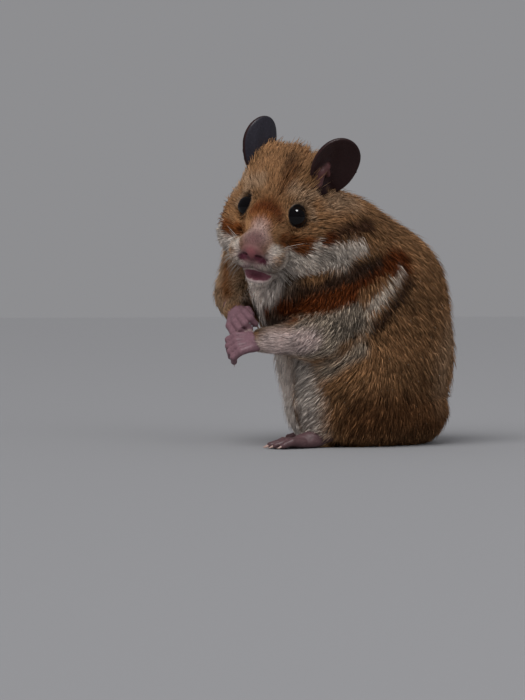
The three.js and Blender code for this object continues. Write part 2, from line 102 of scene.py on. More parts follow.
EYE = np.array([7.3, -1.2, 0.2])  # the middle of the left eyeball, in the head's frame
EYE_RADIUS = 3.6
EYES = {side: eyeball_middle(side) for side in SIDES}

WORLD = Place((0, 0, 0))
HEAD_TURN = turn_of(46, 24, 13.5)
HEAD = Place((EYES["left"] + EYES["right"]) / 2 - HEAD_TURN @ (EYE * (0, 1, 1)), HEAD_TURN)
BODY = Place(HEAD.origin - (14.3, -31, 72))  # on the floor, between the chest and the pelvis
CHEST = Place(BODY.out((4, -18, 48)), turn_of(30))
PELVIS = Place(BODY.out((0, 5, 0)), turn_of(-6))

ARMS = {
    "left": {"shoulder": (15, -9, 48), "elbow": (20, -18, 33.5), "wrist": (14.5, -34.5, 33)},
    "right": {"shoulder": (-13, -27.4, 60.8), "elbow": (-12.3, -32.6, 46.8), "wrist": (0.2, -38.4, 41.6)},
}
PAWS = {
    "left": Place(BODY.out(ARMS["left"]["wrist"]), turn_of(-14, 12, 50)),
    "right": Place(BODY.out(ARMS["right"]["wrist"]), turn_of(80, 22, -44)),
}
FEET = {
    "left": Place(BODY.out((17.5, -14, 0)), turn_of(2)),
    "right": Place(BODY.out((-16, 5.2, 0)), turn_of(-6)),
}
THIGH_BACK = {"left": -6.8, "right": 4.2}  # how far back each thigh's middle is
NOSE = (0, -15.6, -5.9)
TAIL = {"root": (-1, 19, 9), "tip": (-11, 24.5, 3.2)}


# ---- forms


def length(vectors):
    return np.sqrt(np.einsum("ij,ij->i", vectors, vectors))


def unit(vectors):
    return vectors / np.maximum(length(vectors), 1e-9)[:, None]


def smooth_step(low, high, values):
    t = np.clip((values - low) / (high - low), 0, 1)
    return t * t * (3 - 2 * t)


def egg(place, centre, radii, lean=0.0):
    """An ellipsoid of the given half-axes, its top leaning to its own left."""
    own = Place(place.out(centre), place.turn @ turn_of(roll=lean))
    half = np.array(radii, float)

    def distance(points):
        local = own.into(points) / half
        reach = length(local)
        return reach * (reach - 1) / np.maximum(length(local / half), 1e-6)

    return distance


def limb(place, start, end, start_radius, end_radius):
    """A tapered rod with round ends."""
    first = place.out(start)
    axis = place.out(end) - first

    def distance(points):
        off = points - first
        along = np.clip(off @ axis / (axis @ axis), 0, 1)
        return length(off - along[:, None] * axis) - start_radius - along * (end_radius - start_radius)

    return distance


def bent(place, joints, radii, softness=0.4):
    """Rods from joint to joint, run together."""
    rods = [limb(place, *joints[n:n + 2], *radii[n:n + 2]) for n in range(len(joints) - 1)]
    return lambda points: merged(softness, *[rod(points) for rod in rods])


def merged(softness, *values):
    """Runs distances into each other with fillets about softness wide."""
    nearest = values[0]
    for other in values[1:]:
        overlap = np.maximum(softness - np.abs(nearest - other), 0) / softness
        nearest = np.minimum(nearest, other) - overlap * overlap * softness / 4
    return nearest


def carved(softness, values, hollow):
    """Takes a hollow out of a form, its edge rounded."""
    return -merged(softness, -values, hollow)


def nearby(centre, reach, form):
    """A form worked out only within reach of its centre; beyond, it is said to be far."""

    def distance(points):
        values = length(points - centre) - reach + 4
        close = values < 4
        values[close] = form(points[close])
        return values

    return distance


# ---- the body

PARTS = {}  # for each part: the depth of its coat, the way the hair on it lies, and its form


def add_part(name, coat, lie, form):
    PARTS[name] = (coat, lie, form)


def away_from(place, point, drift=(0, 0, 0)):
    """Hair that spreads from a point, all of it drawn one way by a drift."""
    source = place.out(point)
    pull = place.direction(drift)
    return lambda points: unit(points - source) + pull


def towards(place, start, end):
    """Hair that lies straight along a limb."""
    axis = place.out(end) - place.out(start)
    return lambda points: np.broadcast_to(axis / np.linalg.norm(axis), points.shape)


face_lie = away_from(HEAD, (0, -16.5, -6), (0, 0.25, -0.1))
cheek_lie = away_from(HEAD, (0, -14, -3), (0, 0.2, -0.35))
trunk_lie = away_from(BODY, (5, -16, 72), (0, 0.1, -0.85))

add_part("braincase", 1.7, face_lie, egg(HEAD, (0, 11, 1.5), (15, 14.2, 13.8)))
add_part("forehead", 1.0, face_lie, limb(HEAD, (0, 6, 1.5), (0, -3, -1.4), 10, 6.2))
add_part("muzzle", 0.5, face_lie, limb(HEAD, (0, -3, -2.8), (0, -11.8, -7.2), 6.7, 5))
add_part("nose", 0.02, face_lie, egg(HEAD, NOSE, (2.6, 1.9, 2.2)))
add_part("jaw", 0.7, cheek_lie, limb(HEAD, (0, -1, -12.4), (0, -9.0, -15.9), 8.1, 5.5))
add_part("seat", 2.4, trunk_lie, egg(PELVIS, (0, 0.8, 8), (24, 25, 12.6)))
add_part("haunches", 3.2, trunk_lie, egg(PELVIS, (0, 1, 27), (27, 27.4, 26)))
add_part("back", 3.2, trunk_lie, egg(BODY, (1, 3.2, 46), (23, 28.4, 25.6)))
add_part("chest", 2.8, trunk_lie, egg(CHEST, (0, 0, 0), (17, 16, 17)))
add_part("belly", 2.8, trunk_lie, egg(BODY, (1, -4, 28), (20, 17.5, 21)))
add_part("nape", 3.0, trunk_lie, egg(BODY, (3, -9.5, 62), (19, 20.3, 17.8)))
add_part("tail", 1.0, towards(PELVIS, TAIL["root"], TAIL["tip"]),
         limb(PELVIS, TAIL["root"], TAIL["tip"], 3.4, 2))
for side, out in SIDES.items():
    arm = ARMS[side]
    add_part(f"cheek_{side}", 1.9, cheek_lie, egg(HEAD, (9.6 * out, 1.5, -9.5), (8.6, 10, 8.2)))
    add_part(f"pouch_{side}", 2.5, cheek_lie, egg(HEAD, (10.5 * out, 11, -8), (9.5, 12, 11)))
    add_part(f"whisker_pad_{side}", 0.7, face_lie, egg(HEAD, (4.9 * out, -10.9, -9.4), (4.8, 4.9, 4.8)))
    add_part(f"ear_root_{side}", 0.9, face_lie, egg(HEAD, (8 * out, 15.5, 8.5), (4, 3.4, 4.8), 20 * out))
    add_part(f"upper_arm_{side}", 2.4, towards(BODY, arm["shoulder"], arm["elbow"]),
             limb(BODY, arm["shoulder"], arm["elbow"], 10, 7.6))
    add_part(f"forearm_{side}", 1.3, towards(BODY, arm["elbow"], arm["wrist"]),
             limb(BODY, arm["elbow"], arm["wrist"], 6.7, 4.1))
    back = THIGH_BACK[side]
    add_part(f"thigh_{side}", 2.9, away_from(PELVIS, (27 * out, back + 9, 34), (0, 0, -0.25)),
             egg(PELVIS, (16.5 * out, back, 18), (13.2, 19.5, 19)))
    add_part(f"shin_{side}", 1.8, away_from(PELVIS, (22 * out, back + 10, 30), (0, -0.5, -0.25)),
             limb(PELVIS, (17 * out, back - 12.5, 12), (17 * out, back - 12.5, 4), 7, 5.2))

COAT_BLEND = 1.4  # over which one part's coat runs into the next one's


def measure(points):
    """Distance to the tips of the coat, and each part's share in each point."""
    near = {name: form(points) for name, (_, _, form) in PARTS.items()}

    def pick(names):
        return [near[name] for name in names.split()]

    trunk = merged(8, *pick("seat haunches back chest belly nape"))
    head = merged(4, *pick("braincase forehead muzzle cheek_left cheek_right pouch_left pouch_right"))
    legs = []
    for side in SIDES:
        legs.append(merged(4, *pick(f"upper_arm_{side} forearm_{side}")))
        legs.append(merged(6, *pick(f"thigh_{side} shin_{side}")))
    whole = merged(4, merged(7, trunk, head), *legs, *pick("ear_root_left ear_root_right"))
    whole = merged(2, whole, merged(2, *pick("jaw whisker_pad_left whisker_pad_right nose")), near["tail"])
    shares = np.stack([np.exp(-np.maximum(value - whole, 0) / COAT_BLEND) for value in near.values()])
    return whole, shares / shares.sum(axis=0)


COATS = np.array([coat for coat, _, _ in PARTS.values()])


def coat_depth(shares):
    return COATS @ shares


# ---- ears

EAR_WIDTH = 18.5
EAR_THICKNESS = 1.2
EAR_CUP = 2.6  # how deep its hollow is
EAR_POSES = {  # root, tip and the way the hollow faces
    "left": ((10.2, 12.6, 1.4), (17.6, 11.2, 27.6), (0.72, -0.68, -0.44)),
    "right": ((-8.7, 13.6, 2.4), (-12, 19, 20.8), (-1, 0.22, -0.2)),
}
EAR_LENGTHS = {"left": 22.5, "right": 20.5}


def ear_place(side):
    """Its root at the origin, its tip towards z, its hollow facing -y."""
    root, tip, opening = (np.array(v, float) for v in EAR_POSES[side])
    z_axis = (tip - root) / np.linalg.norm(tip - root)
    y_axis = -opening + (opening @ z_axis) * z_axis
    y_axis /= np.linalg.norm(y_axis)
    axes = np.stack([np.cross(y_axis, z_axis), y_axis, z_axis], axis=1)
    return Place(HEAD.out(root), HEAD.turn @ axes)


EARS = {side: ear_place(side) for side in SIDES}


def ear_sheet(local, ear_length):
    """How far out in the ear's outline a point is (1 at the rim), how far behind its sheet, how low."""
    along = 2 * local[:, 2] / ear_length - 1
    low = np.clip((1 - along) / 2, 0, 1)
    across = local[:, 0] / (EAR_WIDTH / 2 * (1 - 0.45 * low ** 1.7))
    out = np.sqrt(across ** 2 + np.abs(along) ** (2 / 0.85))
    curl = np.clip(across, -1.2, 1.2) ** 2 * (1 + 0.4 * low) + 0.5 * np.clip(along, 0, 1.2) ** 2
    ribs = 0.13 * np.cos(9 * across + 2 * along) * smooth_step(1.0, 0.5, out)
    return out, local[:, 1] - EAR_CUP * (0.5 - curl) - ribs, low


def ear_fold(side):
    """A ridge inside the ear that runs up from its root in front, bends over and ends behind."""
    front = -SIDES[side]
    joints = [(4.6 * front, -2.4, 7.6), (4.2 * front, -1.6, 11.0), (2.2 * front, -0.6, 12.6),
              (0.6 * front, -0.4, 9.4)]
    return bent(EARS[side], joints, (1.5, 1.3, 1.0, 0.8), 0.6)


FOLDS = {side: ear_fold(side) for side in SIDES}


def ear(side):
    """A cupped sheet, thicker at its root, with its fold."""
    place, ear_length = EARS[side], EAR_LENGTHS[side]

    def distance(points):
        out, behind, low = ear_sheet(place.into(points), ear_length)
        thick = EAR_THICKNESS / 2 * (1 + 0.4 * low - 0.15 * smooth_step(0.6, 1, out))
        sheet = carved(0.5, np.abs(behind) * 0.8 - thick, (1 - out) * EAR_WIDTH * 0.42)
        return merged(1.2, sheet, FOLDS[side](points))

    return nearby(place.out((0, 0, ear_length / 2)), 16, distance)


def ear_front(side):
    """The hollow side of an ear's sheet."""
    place, ear_length = EARS[side], EAR_LENGTHS[side]

    def distance(points):
        _, behind, _ = ear_sheet(place.into(points), ear_length)
        return np.maximum(EXTREMITIES[f"ear_{side}"](points), behind)

    return distance


# ---- paws and feet

FORE_DIGITS = 4
HIND_TOES = 5


def fore_digits(out):
    """Root, knuckle, end joint and tip of each digit, in the paw's frame, with the thumb's last."""
    digits = []
    for i in range(FORE_DIGITS):
        spread = i - (FORE_DIGITS - 1) / 2
        digits.append([(spread * 1.6, -4.6 + 0.3 * abs(spread), 0.3),
                       (spread * 2.1, -8.2 + 0.4 * abs(spread), 0.7),
                       (spread * 2.3, -10.6 + 0.45 * abs(spread), -0.9),
                       (spread * 2.2, -10.7 + 0.5 * abs(spread), -3.4)])
    digits.append([(-out * 2.4, -2, -0.8), (-out * 3.6, -3.4, -1.0), (-out * 3.6, -5.0, -2.2)])
    return digits


def hind_toes():
    """Root, joint and tip of each toe, in the foot's frame."""
    toes = []
    for i in range(HIND_TOES):
        spread = i - (HIND_TOES - 1) / 2
        toes.append([(spread * 1.3, -11 + 0.5 * abs(spread), 1.7),
                     (spread * 1.75, -15 + 0.6 * abs(spread), 2.1),
                     (spread * 2.05, -19.4 + 0.6 * spread ** 2, 1.1)])
    return toes


def paw(side):
    """A forepaw with its wrist, palm and digits."""
    place = PAWS[side]
    out = SIDES[side]
    digits = [bent(place, joints, (1.25, 1.2, 1.12, 0.95)) for joints in fore_digits(out)]
    palm = egg(place, (0, -3.4, -0.2), (3.5, 3.9, 2.0))
    wrist = limb(place, (0, 5, 0), (0, -2.5, 0), 2.9, 2.4)

    def distance(points):
        hand = merged(1.2, palm(points), wrist(points))
        return merged(0.5, hand, merged(0.18, *[digit(points) for digit in digits]))

    return nearby(place.out((0, -4, 0)), 13, distance)


def foot(side):
    """A hind foot with its heel, sole and toes."""
    place = FEET[side]
    toes = [bent(place, joints, (1.3, 1.15, 0.85)) for joints in hind_toes()]
    sole = egg(place, (0, -8.6, 1.6), (3.4, 6.4, 1.9))
    heel = limb(place, (0, 4, 5.5), (0, -9, 2.2), 2.8, 2.2)

    def distance(points):
        return merged(0.6, merged(1.2, sole(points), heel(points)),
                      merged(0.2, *[toe(points) for toe in toes]))

    return nearby(place.out((0, -8, 2)), 18, distance)


# ---- the face: lids, nostrils and mouth

LID_THICKNESS = 0.3
LID_OPENING = 64  # half the angle between the lids' edges, seen from the eyeball's middle
LID_FLOOR = 0.5  # how far behind the eyeball's front the skin runs inside the lids
# The way each eye looks.
EYE_AXES = {side: HEAD.direction(unit(np.array([(0.8 * out, -0.42, 0.47)]))[0])
            for side, out in SIDES.items()}


def slope_of(form, points, step=0.05):
    """A form's distance at points, and the direction in which it grows."""
    here = form(points)
    slopes = [(form(points + step * axis) - here) / step for axis in np.eye(3)]
    return here, np.stack(slopes, axis=1)


def from_eye(side, points):
    """How far points are from an eyeball's middle, and at what angle to the way it looks."""
    off = points - EYES[side]
    reach = length(off)
    return reach, np.degrees(np.arccos(np.clip(off @ EYE_AXES[side] / np.maximum(reach, 1e-6), -1, 1)))


def eye_opening(side):
    """The hollow in the skin that the eyeball sits in, between the lids."""

    def distance(points):
        reach, angle = from_eye(side, points)
        beside = reach * np.sin(np.radians(np.clip(angle - LID_OPENING, -90, 90)))
        return np.maximum(beside, EYE_RADIUS - LID_FLOOR - reach)

    return nearby(EYES[side], 8, distance)


def mouth():
    """Its hollow: a low arch between the lips, deeper in the middle."""
    hollow = egg(HEAD, (0, -13.4, -15.8), (3.8, 2.6, 1.4))
    corners = [limb(HEAD, (0, -14.4, -15.5), (6.2 * out, -10.0, -17.4), 1.3, 0.6) for out in SIDES.values()]
    return lambda points: merged(0.8, hollow(points), *[corner(points) for corner in corners])


MOUTH = mouth()
NOSE_PAD = egg(HEAD, (0, -13.3, -5.6), (5.2, 3.1, 3.4))
LIPS = [limb(HEAD, (2.2 * out, -13.6, -10.9), (4.8 * out, -10.8, -13.0), 2.6, 2.0) for out in SIDES.values()]
NOSTRILS = [egg(HEAD, (2.3 * out, -16.7, -7.8), (1.3, 1.3, 0.6), 25 * out) for out in SIDES.values()]
LIP_CLEFT = limb(HEAD, (0, -17.8, -8.8), (0, -15.8, -13.8), 0.3, 0.5)
CONCHAS = {side: egg(EARS[side], (-0.6 * out, -2.6, 9), (4.6, 3.0, 5.8)) for side, out in SIDES.items()}
LID_BALLS = {side: egg(Place(EYES[side]), (0, 0, 0), [EYE_RADIUS + LID_THICKNESS] * 3) for side in SIDES}
OPENINGS = {side: eye_opening(side) for side in SIDES}
EXTREMITIES = {f"{kind}_{side}": make(side)
               for kind, make in {"ear": ear, "paw": paw, "foot": foot}.items() for side in SIDES}
FLOOR_GAP = 0.3  # between the skin and the floor


def body_form(points):
    """Distance to the skin without its openings, ears, paws and feet."""
    whole, shares = measure(points)
    values = whole + coat_depth(shares)
    values = merged(2.6, values, NOSE_PAD(points))
    values = merged(1.0, values, *[lip(points) for lip in LIPS])
    return merged(0.9, values, *[ball(points) for ball in LID_BALLS.values()])


def skin_form(points, spare=0.0):
    """Distance to the skin, its ears made thicker by some spare."""
    values = body_form(points)
    for side in SIDES:
        values = carved(1.2, values, CONCHAS[side](points))
    for name, form in EXTREMITIES.items():
        if name.startswith("ear"):
            values = merged(0.9, values, form(points) - spare)
        else:
            values = merged(1.2, values, form(points))
    values = carved(0.5, values, MOUTH(points))
    values = carved(0.35, values, LIP_CLEFT(points))
    for nostril in NOSTRILS:
        values = carved(0.3, values, nostril(points))
    for side in SIDES:
        values = carved(0.12, values, OPENINGS[side](points))
    return np.maximum(values, FLOOR_GAP - points[:, 2])


def in_runs(function, points, run=8192):
    """A function of many points, worked out in runs that fit the processor's memory."""
    return np.concatenate([function(points[n:n + run]) for n in range(0, len(points), run)])


# ---- from a form to a mesh


def wrap(form, low, high, cell):
    """The surface of a form as triangles: one vertex in each crossed cell of a grid."""
    count = np.ceil((high - low) / cell).astype(int) + 1
    grid = np.stack(np.meshgrid(*[np.arange(n) for n in count], indexing="ij"), axis=-1)
    values = in_runs(form, grid.reshape(-1, 3) * cell + low).reshape(count)
    inside = values < 0
    steps = np.array([count[1] * count[2], count[2], 1])
    rings, places = [], []
    for axis in range(3):
        shown = [slice(0, -1) if n == axis else slice(None) for n in range(3)]
        beyond = [slice(1, None) if n == axis else slice(None) for n in range(3)]
        at = np.argwhere(inside[tuple(shown)] != inside[tuple(beyond)])
        first = values[tuple(at.T)]
        second = values[tuple((at + np.eye(3, dtype=int)[axis]).T)]
        place = at.astype(float)
        place[:, axis] += first / (first - second)
        one, two = steps[(axis + 1) % 3], steps[(axis + 2) % 3]
        ring = (at @ steps)[:, None] - np.array([0, one, one + two, two])
        ring[first > 0] = ring[first > 0][:, ::-1]
        rings.append(ring)
        places.append(np.repeat(place[:, None], 4, axis=1))
    rings, places = np.concatenate(rings), np.concatenate(places)
    quads = np.unique(rings, return_inverse=True)[1].reshape(rings.shape)
    total = np.bincount(quads.ravel())
    points = np.stack([np.bincount(quads.ravel(), places[..., n].ravel()) / total for n in range(3)], axis=1)
    return points * cell + low, np.concatenate([quads[:, [0, 1, 2]], quads[:, [0, 2, 3]]])


def settle(form, points, most, rounds=3):
    """Moves points on to the surface of a form, each time by no more than a given step."""
    for _ in range(rounds):
        def ends(some):
            here, slope = slope_of(form, some)
            steepness = np.maximum(np.einsum("ij,ij->i", slope, slope), 0.05)
            return some - slope * np.clip(here / steepness, -most, most)[:, None]

        points = in_runs(ends, points)
    return points


def refine(points, triangles, chosen):
    """Halves every edge whose two ends are chosen."""
    pairs = np.sort(triangles[:, [[0, 1], [1, 2], [2, 0]]], axis=2)
    halved = chosen[pairs].all(axis=2)
    keys, where = np.unique(pairs[halved], axis=0, return_inverse=True)
    middle = np.full(triangles.shape, -1)
    middle[halved] = len(points) + where.ravel()
    made = [triangles[~halved.any(axis=1)]]
    t, m = triangles[halved.all(axis=1)], middle[halved.all(axis=1)]
    for n in range(3):
        made.append(np.stack([t[:, n], m[:, n], m[:, n - 1]], axis=1))
    made.append(m)
    once = halved.sum(axis=1) == 1
    for n in range(3):
        t, m = triangles[once & halved[:, n]], middle[once & halved[:, n]][:, n]
        made.append(np.stack([t[:, n], m, t[:, n - 1]], axis=1))
        made.append(np.stack([m, t[:, n - 2], t[:, n - 1]], axis=1))
    return np.concatenate([points, points[keys].mean(axis=1)]), np.concatenate(made)


def add_object(name, data):
    made = bpy.data.objects.new(name, data)
    bpy.context.scene.collection.objects.link(made)
    return made


def add_mesh(name, points, triangles):
    """An object of the given triangles, in metres."""
    mesh = bpy.data.meshes.new(name)
    mesh.vertices.add(len(points))
    mesh.vertices.foreach_set("co", (points * MM).astype(np.float32).ravel())
    mesh.loops.add(triangles.size)
    mesh.loops.foreach_set("vertex_index", triangles.astype(np.int32).ravel())
    mesh.polygons.add(len(triangles))
    mesh.polygons.foreach_set("loop_start", np.arange(0, triangles.size, 3, dtype=np.int32))
    mesh.polygons.foreach_set("use_smooth", np.ones(len(triangles), bool))
    mesh.update(calc_edges=True)
    return add_object(name, mesh)


def paint(piece, name, colours):
    """Gives a mesh one colour for each vertex."""
    layer = piece.data.color_attributes.new(name, "FLOAT_COLOR", "POINT")
    rgba = np.concatenate([colours, np.ones((len(colours), 1))], axis=1)
    layer.data.foreach_set("color", rgba.astype(np.float32).ravel())


# ---- markings

# Each colour (red, green and blue of 255), and how strongly single tufts of it differ in tone.
COLOURS = {
    "gold": ((146, 108, 74), 0.42),
    "umber": ((112, 76, 48), 0.45),
    "amber": ((136, 86, 48), 0.25),
    "fawn": ((156, 116, 80), 0.22),
    "tan": ((164, 134, 106), 0.18),
    "cream": ((216, 202, 186), 0.3),
    "rust": ((116, 62, 30), 0.3),
    "chestnut": ((104, 52, 22), 0.6),
    "brown": ((78, 52, 36), 0.35),
    # dark fur, and also the painted shade on the chest behind the far forepaw
    "dark": ((62, 43, 32), 0.4),
    # painted shade under the jaw: the throat's ticked fur, greyed and darkened
    "throat_shade_grey": ((112, 94, 80), 0.6),
    "ticked": ((176, 160, 142), 1.0),
    "white": ((204, 192, 180), 0.2),
    "pale": ((230, 218, 208), 0.1),
    "pearl": ((192, 181, 171), 0.4),
    "bridge": ((176, 150, 140), 0.12),
    "orange": ((116, 66, 32), 0.3),
    "pink": ((114, 75, 77), 0.08),
    "salmon": ((138, 84, 86), 0.05),
    # painted shade in and under the nostrils, in the lip's pink
    "nostril_shade_pink": ((92, 46, 58), 0.05),
    "lip": ((168, 144, 142), 0.05),
    "blush": ((210, 190, 184), 0.1),
    "ear": ((46, 44, 52), 0.08),
    "ear_inside": ((44, 26, 26), 0.08),
    "ear_fold": ((88, 56, 56), 0.08),
    "mouth": ((124, 76, 86), 0.03),
    "lid": ((14, 10, 10), 0.05),
    "paw": ((114, 85, 92), 0.05),
    "sole": ((84, 62, 64), 0.05),
}


def linear(colour):
    values = np.array(colour, float) / 255
    return np.where(values <= 0.04045, values / 12.92, ((values + 0.055) / 1.055) ** 2.4)


# Strokes of colour over the gold, one over the other: colour, place, points, radius at each end,
# how soft the edge is. Each is on both sides of the animal.
STROKES = [
    # belly, chest and limbs
    ("umber", PELVIS, [(26, -8, 9), (27, 8, 9), (16, 24, 7)], 8, 6, 5),
    ("tan", PELVIS, [(12, 25, 34), (18, 20, 25), (17, 21, 17)], 4, 4, 7),
    ("pale", PELVIS, [(0, -16, 38), (0, -20, 20), (0, -14, 3)], 11, 13, 3),
    # painted shade under the jaw, greying and darkening the throat's ticked fur
    ("throat_shade_grey", CHEST, [(0, -15, 3), (0, -14, -8)], 10, 9, 2.5),
    ("chestnut", CHEST, [(4, -14.5, -6), (9, -13.5, -6.5), (16, -10.9, -4.5), (22.3, -4.1, -1.4),
                         (26.1, 5.9, 3.2), (28.4, 14.1, 8.4)], 3.3, 4.8, 2.0),
    ("dark", CHEST, [(6, -13.5, -2.5), (16.5, -10, 0.4), (21, -5, 3.4), (26, 7, 8)], 1.4, 2.2, 1.0),
    ("fawn", CHEST, [(24, 1, -2.3), (28, 8.5, 2.0)], 2.4, 2.3, 1.4),
    ("dark", CHEST, [(30.8, 15.8, 2.6), (30.2, 11.2, -3.4), (28.6, 6.2, -8.8), (26.4, 2.5, -12.4)],
     1.6, 1.6, 1.4),
    ("cream", CHEST, [(29.5, 14.2, 6.2), (28.6, 9.6, 0.6), (26.8, 4.6, -4.8), (24.7, 0.6, -9)],
     0.8, 2.3, 0.8),
    ("ticked", CHEST, [(23.3, -2.0, -10), (20.7, -10, -12), (12.5, -15, -13)], 5.4, 4.0, 1.4),
    ("ticked", CHEST, [(20, -11.5, -17), (13, -17, -18), (6, -21, -18)], 4.0, 5, 2.0),
    ("blush", CHEST, [(16, -16, -15), (6, -21, -17)], 4.0, 5.5, 2.5),
    ("ticked", PELVIS, [(25.5, -20, 23), (27.5, -9, 30)], 2.2, 2.0, 2.0),
    ("pearl", PELVIS, [(16, -25.5, 25), (20.5, -26, 18), (22.5, -25.5, 11), (20, -24, 4)], 5.8, 5.0, 3.2),
    # head
    ("fawn", HEAD, [(0, -4, 7), (0, 4, 12.5), (0, 14, 14)], 9, 11, 3),
    ("tan", HEAD, [(5.5, 0.5, 9.5), (10.8, 2.5, 6.0), (14, 8, 6.5)], 2.6, 3.0, 1.8),
    ("fawn", HEAD, [(14, 4, 1.5), (20, 13, 1)], 4, 4.5, 2.2),
    ("tan", HEAD, [(17, 9, 3), (20, 17, 3)], 3.6, 5, 2.5),
    ("tan", HEAD, [(7.5, -0.5, 4.2), (11.0, 1.4, 3.6), (12.6, 2.0, -0.5)], 1.5, 1.5, 1.0),
    ("amber", HEAD, [(0, -6.6, 4), (0, -9, 1.2)], 4.6, 3.6, 1.8),
    ("rust", HEAD, [(0, -6.3, 4.8), (3.4, -6.0, 3.4), (4.6, -6.6, 1.4)], 1.9, 1.2, 1.5),
    ("fawn", HEAD, [(5.5, -9, -1.5), (8.5, -6.5, -3.0)], 1.8, 1.4, 1),
    ("chestnut", HEAD, [(18.2, -1.0, -5.9), (19.6, 1.6, -4.9)], 1.8, 2.2, 1.0),
    ("brown", HEAD, [(21.5, 4, -4.4), (24, 9, -4.4), (27, 14, -4.4)], 2.0, 2.8, 1.6),
    ("white", HEAD, [(7, -10.5, -11), (13, -7.5, -12.6), (20, -1.8, -12), (24, 3, -10.4), (27, 6.6, -9.2)],
     3.4, 2.6, 1.2),
    ("white", HEAD, [(13, -7.5, -12.6), (22, 1, -11.4)], 4.4, 4.6, 1.2),
    ("orange", HEAD, [(8.1, -7.4, -4.8), (12.0, -6.8, -6.2), (14.4, -4.8, -6.4)], 2.4, 3.4, 1),
    ("white", HEAD, [(17.8, -1.4, -3.6), (17.2, -3.4, -6.0), (15.2, -6.4, -9.4)], 0.9, 1.5, 0.5),
    ("bridge", HEAD, [(0, -10.8, -0.8), (0, -13.0, -2.8)], 2.9, 4.6, 2.2),
    ("white", HEAD, [(5.6, -13.2, -6.8), (7.6, -10.8, -8.6), (12, -6.8, -11.8)], 2.4, 2.6, 0.9),
    ("white", HEAD, [(2.5, -15, -10.6), (6.0, -11.4, -10.6), (8, -8.6, -11.8)], 3.6, 3.6, 1.2),
    ("pale", HEAD, [(0, -13, -19.5), (0, -5, -22)], 6.0, 9, 1.5),
    ("blush", HEAD, [(3.8, -13.4, -6.4), (5.2, -13.4, -9.4)], 1.4, 1.8, 2.0),
    ("pink", HEAD, [(0, -14.4, -4.6), (0, -16.4, -7.6)], 3.6, 4.2, 2.4),
    ("salmon", HEAD, [(0, -17.2, -6.4), (0, -17.2, -8.6)], 1.5, 0.7, 0.7),
    # painted shade in and under each nostril, on the upper lip
    ("nostril_shade_pink", HEAD, [(2.2, -16.7, -8.5), (4.0, -15.3, -9.6)], 1.3, 1.3, 0.8),
    ("lip", HEAD, [(1.4, -16.2, -12.4), (4.8, -12.8, -14.6)], 1.2, 0.8, 0.8),
    ("blush", HEAD, [(0, -13.6, -18.0), (5.4, -11, -18.8)], 1.0, 0.8, 0.6),
]
# Strokes on one side only.
SINGLE_STROKES = [
    ("brown", HEAD, [(1.6, 10, 15), (3.4, 4.8, 13.6), (3.2, 2.4, 12.0)], 2.0, 1.6, 2.2),
    ("umber", HEAD, [(4.0, 5.4, 13.6), (3.4, 1.6, 11.4), (2.9, -1.8, 8.6)], 2.8, 1.4, 2.0),
    ("tan", CHEST, [(-26, -8, 9), (-22, -12, 2.5), (-18, -15, -5)], 8, 7, 2.5),
    ("amber", CHEST, [(-23, -10, 7.5), (-20.5, -13, 2.0), (-16, -15, -3)], 1.4, 1.8, 2.0),
    # painted shade: the far forepaw's shadow on the chest behind it
    ("dark", CHEST, [(-10.5, -14, -4.6), (-7.5, -12, -9)], 2.0, 2.2, 1.2),
    ("pale", CHEST, [(-4.4, -15.5, 3), (-5.2, -14.4, -4), (-6.2, -11.5, -10)], 3.4, 1.4, 1.0),
    ("pale", HEAD, [(-8, -10.6, -9.4), (-13.4, -7, -11)], 2.6, 3.0, 1.4),
]


def stroke_mask(points, line, first_radius, last_radius, softness):
    """1 inside a stroke, 0 outside it."""
    radii = np.linspace(first_radius, last_radius, len(line))
    rods = [limb(WORLD, *line[n:n + 2], *radii[n:n + 2])(points) for n in range(len(line) - 1)]
    return smooth_step(softness, -softness, np.minimum.reduce(rods))


def markings(points):
    """The coat's colour and how ticked it is, at points of the skin."""
    base, ticked = COLOURS["gold"]
    colours = np.tile(linear(base), (len(points), 1))
    ticking = np.full(len(points), ticked)
    for strokes, mirrored in ((STROKES, True), (SINGLE_STROKES, False)):
        for name, place, line, first_radius, last_radius, softness in strokes:
            local = place.into(points)
            if mirrored:
                local[:, 0] = np.abs(local[:, 0])
            mask = stroke_mask(local, line, first_radius, last_radius, softness)
            base, ticked = COLOURS[name]
            colours += mask[:, None] * (linear(base) - colours)
            ticking += mask * (ticked - ticking)
    return colours, ticking


def lid_rim(side):
    """The edge of the lids."""
    return lambda points: np.maximum(OPENINGS[side](points), LID_BALLS[side](points))


UNDER_FUR = 0.7  # the skin's shade under the fur, as a share of the coat's
# Where the skin shows, and its colour there: (colour, form, how far outside the form it reaches).
# Without a colour it has that of the markings.
BARE = {
    "nose": (None, egg(HEAD, (0, -15.8, -7.0), (3.4, 2.3, 3.2)), 0.2),
    "lips": (None, MOUTH, 1.0),
    "mouth": ("mouth", MOUTH, 0.15),
}
for side in SIDES:
    BARE[f"concha_{side}"] = ("ear_inside", CONCHAS[side], 0.4)
    BARE[f"ear_{side}"] = ("ear", EXTREMITIES[f"ear_{side}"], 0.35)
    BARE[f"ear_front_{side}"] = ("ear_inside", ear_front(side), 0.35)
    BARE[f"ear_fold_{side}"] = ("ear_fold", FOLDS[side], 0.15)
    BARE[f"paw_{side}"] = ("paw", EXTREMITIES[f"paw_{side}"], 0.15)
    BARE[f"foot_{side}"] = ("sole", EXTREMITIES[f"foot_{side}"], 0.15)
    BARE[f"lid_{side}"] = ("lid", lid_rim(side), 0.3)


def skin_colours(points):
    """The skin's colour and how bare it is: the coat's own colour wherever it isn't bare."""
    marked, _ = markings(points)
    colours = UNDER_FUR * marked
    bare = np.zeros(len(points))
    for name, form, reach in BARE.values():
        mask = smooth_step(reach + 0.25, reach - 0.15, form(points))
        own = marked if name is None else linear(COLOURS[name][0])
        colours += mask[:, None] * (own - colours)
        bare = np.maximum(bare, mask)
    return colours, bare


# ---- the skin

SKIN_CELL = 0.76  # the grid on which the skin is wrapped
SKIN_MARGIN = 1.6  # of that grid, around the model
EAR_SPARE = 0.35  # added to the ears until their two sides are wrapped apart


